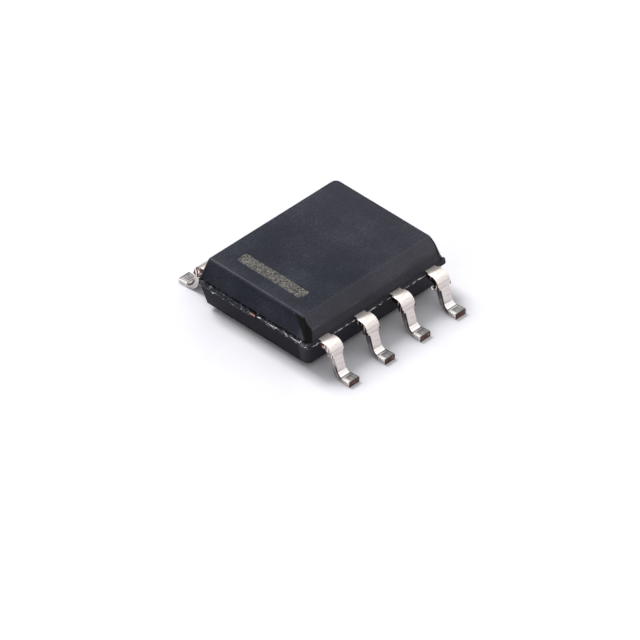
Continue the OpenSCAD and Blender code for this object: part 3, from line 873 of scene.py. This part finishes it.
bare_copper = new_material("frame_copper")
tree = bare_copper.node_tree
mottle, spot = placed_mottle(tree, 4000.0, 26000.0)
copper_colour = ramp(tree, mottle.outputs["Both"], [(0.35, (0.62, 0.30, 0.20)), (0.65, (0.86, 0.50, 0.37))])
copper_rough = add(tree, "ShaderNodeMapRange",
                   {"Value": mottle.outputs["Cloud"], "To Min": 0.28, "To Max": 0.45})
copper_bump = bump(tree, mottle.outputs["Speckle"], 0.3, 0.008)
finish_material(bare_copper, Base_Color=copper_colour, Metallic=1.0, Roughness=copper_rough.outputs["Result"],
                Normal=copper_bump)

# a middle lead: its finger flares into a tip with a locking notch on each side
tip_shoulder, tip_end, tip_wide, notch = 1.575, 1.075, 0.52, 0.07
middle_lead = formed_lead("plated_lead_2")
finger_face(middle_lead)
draw_out(-limb_root - tip_shoulder, 0, tip_wide / lead_wide)
reach, width = tip_shoulder, tip_wide
stops = [(tip_shoulder - notch, tip_wide)]
stops += [(tip_shoulder - 2 * notch + notch * math.cos(math.radians(a)),
           tip_wide - 2 * notch * math.sin(math.radians(a))) for a in (15, 45, 90, 135, 165)]
stops += [(tip_shoulder - 3 * notch, tip_wide), (tip_end, tip_wide)]
for new_reach, new_width in stops:
    draw_out(reach - new_reach, 0, new_width / width)
    reach, width = new_reach, new_width
finish_lead(middle_lead)

# a corner lead: its finger turns at a slant towards the middle of the chip
corner_tip_top, corner_tip_end, corner_reach = 0.97, 0.45, 0.555
corner_lead = formed_lead("plated_lead_1")
finger_face(corner_lead)
elbow = corner_tip_top + corner_reach - lead_wide / 2
draw_out(-limb_root - elbow, 0)
draw_out(elbow - corner_tip_top, 0)
draw_out(corner_tip_top - corner_tip_end, 0)
pick(corner_lead, "verts", lambda v: v.co.x > 0 and -corner_tip_top - 0.01 < centre_of(v).y < 0)
bpy.ops.transform.translate(value=((corner_reach - lead_wide / 2) * mm, 0, 0))
finish_lead(corner_lead)


def copied_lead(source, number, row_place, half_turn, mirrored=False):
    """A copy of a formed lead with its own mesh, put in its place in the row."""
    hold(source)
    bpy.ops.object.duplicate()
    piece = bpy.context.object
    piece.name = "plated_lead_%d" % number
    if mirrored:
        piece.scale = (-1, 1, 1)
    if half_turn:
        piece.rotation_euler = (0, 0, math.pi)
    piece.location = (row_place * mm, 0, 0)
    bpy.ops.object.transform_apply(location=True, rotation=True, scale=True)
    for corner, place in zip(piece.data.loops, piece.data.uv_layers["strip"].data):
        place.uv.x = piece.data.vertices[corner.vertex_index].co.x / mm - row_place
    if mirrored:
        bpy.ops.object.mode_set(mode="EDIT")
        bpy.ops.mesh.select_all(action="SELECT")
        bpy.ops.mesh.normals_make_consistent(inside=False)
        bpy.ops.object.mode_set(mode="OBJECT")
    return piece


leads = [copied_lead(corner_lead, 1, row_x[0], False), copied_lead(middle_lead, 2, row_x[1], False),
         copied_lead(middle_lead, 3, row_x[2], False), copied_lead(corner_lead, 4, row_x[3], False, True),
         copied_lead(corner_lead, 5, row_x[3], True), copied_lead(middle_lead, 6, row_x[2], True),
         copied_lead(middle_lead, 7, row_x[1], True), copied_lead(corner_lead, 8, row_x[0], True, True)]
for pattern in (middle_lead, corner_lead):
    bpy.data.objects.remove(pattern)

# the sliver that the dam bar's shear left hanging on lead 4
sliver_x, sliver_y, sliver_z = 1.64, -2.29, 0.575
sliver_size, sliver_root = (0.21, 0.09, 0.055), 1.73
hold(leads[3])
bpy.ops.object.mode_set(mode="EDIT")
bpy.ops.mesh.select_all(action="DESELECT")
bpy.ops.mesh.primitive_cube_add(size=1 * mm, location=(sliver_x * mm, sliver_y * mm, sliver_z * mm))
bpy.ops.transform.resize(value=sliver_size, center_override=(sliver_x * mm, sliver_y * mm, sliver_z * mm))
bpy.ops.mesh.subdivide(number_cuts=3)
bpy.ops.transform.vertex_random(offset=0.018 * mm, seed=17)
bpy.ops.transform.rotate(value=math.radians(-40), orient_axis="Y",
                         center_override=(sliver_root * mm, sliver_y * mm, sliver_z * mm))
bpy.ops.object.mode_set(mode="OBJECT")
# The sliver's faces take the plating's bands at 1.10 and 0.449 along the strip: the painted highlight of the
# heel and the painted dark line at the knee's end.
for face in leads[3].data.polygons:
    middle = face.center / mm
    if (1.45 < middle.x < 1.76 and -2.38 < middle.y < -2.20 and 0.45 < middle.z < 0.78
            and len(face.vertices) == 4):
        for corner in face.loop_indices:
            leads[3].data.uv_layers["strip"].data[corner].uv = (0, 1.10 if middle.x < 1.69 else 0.449)
for number, piece in enumerate(leads, 1):
    piece.name = "plated_lead_%d" % number
    for finish in (plating, plated_side, sheared, bare_copper):
        piece.data.materials.append(finish)
    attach(piece, "root")
    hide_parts("lead_%d" % number)


# ---------------------------------------------------------------- die pad
# The paddle of the lead frame, stamped from the same copper strip and set down
# below it, with a tie bar at each end whose sheared end shows in the body's ends.
def coat(name, material):
    """Puts a material on a solid that keeps its own mesh."""
    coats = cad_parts[name].data.materials
    coats.clear()
    coats.append(material)


pad_copper = new_material("pad_copper")
tree = pad_copper.node_tree
mottle, spot = placed_mottle(tree, 3000.0, 24000.0)
pad_colour = ramp(tree, mottle.outputs["Both"], [(0.35, (0.56, 0.27, 0.19)), (0.65, (0.86, 0.47, 0.36))])
place = add(tree, "ShaderNodeSeparateXYZ", {"Vector": spot})
sheared_end = rise_over(tree, maths(tree, "ABSOLUTE", place.outputs["X"]), 2.395 * mm, 2.400 * mm)
bright_break = maths(tree, "MULTIPLY", rise_over(tree, place.outputs["Z"], 0.852 * mm, 0.862 * mm),
                     rise_over(tree, place.outputs["Z"], 0.922 * mm, 0.912 * mm))
bright_break = maths(tree, "MULTIPLY", bright_break,
                     rise_over(tree, maths(tree, "ABSOLUTE", place.outputs["Y"]),
                               0.098 * mm, 0.090 * mm))
# Painted shade: the sheared tie-bar end is painted nearly black round a narrow pink band.
tie_bar_end_shade = maths(tree, "MULTIPLY", sheared_end, maths(tree, "SUBTRACT", 1.0, bright_break))
pad_colour = tinted(tree, sheared_end, pad_colour, (0.40, 0.215, 0.185, 1))
pad_colour = tinted(tree, tie_bar_end_shade, pad_colour, (0.006, 0.004, 0.004, 1))
pad_bump = bump(tree, mottle.outputs["Both"], 0.4, 0.01)
finish_material(pad_copper, Base_Color=pad_colour, Metallic=0.9, Roughness=0.4,
                Normal=pad_bump)
coat("die_pad", pad_copper)


# ---------------------------------------------------------------- die and its glue
# The silicon chip sits in a thin bed of silver-filled epoxy. Its circuit side
# faces up, laid out in blocks under clear glass.
silver_glue = new_material("silver_epoxy")
tree = silver_glue.node_tree
mottle, spot = placed_mottle(tree, 5000.0, 40000.0)
glue_colour = ramp(tree, mottle.outputs["Both"], [(0.35, (0.30, 0.29, 0.28)), (0.65, (0.62, 0.61, 0.59))])
glue_bump = bump(tree, mottle.outputs["Both"], 0.5, 0.01)
finish_material(silver_glue, Base_Color=glue_colour, Metallic=0.6, Roughness=0.5,
                Normal=glue_bump)
coat("die_attach", silver_glue)

circuit = new_material("silicon_circuit")
tree = circuit.node_tree
spot = add(tree, "ShaderNodeTexCoord").outputs["Object"]
blocks = add(tree, "ShaderNodeTexVoronoi", {"Vector": spot, "Scale": 9000.0}, distance="CHEBYCHEV")
lines = add(tree, "ShaderNodeTexBrick", {"Vector": spot, "Scale": 16000.0, "Mortar Size": 0.03,
                                         "Color1": (0.10, 0.13, 0.20, 1), "Color2": (0.16, 0.14, 0.22, 1),
                                         "Mortar": (0.55, 0.52, 0.42, 1)})
block_tone = ramp(tree, blocks.outputs["Distance"], [(0.2, (0.5, 0.5, 0.55)), (0.6, (1.0, 0.95, 0.9))])
circuit_colour = add(tree, "ShaderNodeMix", {"Factor": 1.0, 6: lines.outputs["Color"], 7: block_tone},
                     data_type="RGBA", blend_type="MULTIPLY").outputs[2]
finish_material(circuit, Base_Color=circuit_colour, Metallic=0.5, Roughness=0.2)
coat("die", circuit)


# ---------------------------------------------------------------- bond wires
# Eight gold wires, each ball-bonded on the die, looped up and stitched down on
# the silvered tip of its lead.
gold = new_material("bond_gold")
tree = gold.node_tree
mottle, spot = placed_mottle(tree, 12000.0, 60000.0)
gold_colour = ramp(tree, mottle.outputs["Both"], [(0.35, (0.90, 0.62, 0.24)), (0.65, (1.0, 0.77, 0.36))])
finish_material(gold, Base_Color=gold_colour, Metallic=1.0, Roughness=0.22)
for number in range(1, 9):
    coat("bond_wire_%d" % number, gold)


# ---------------------------------------------------------------- close
nothing_picked()
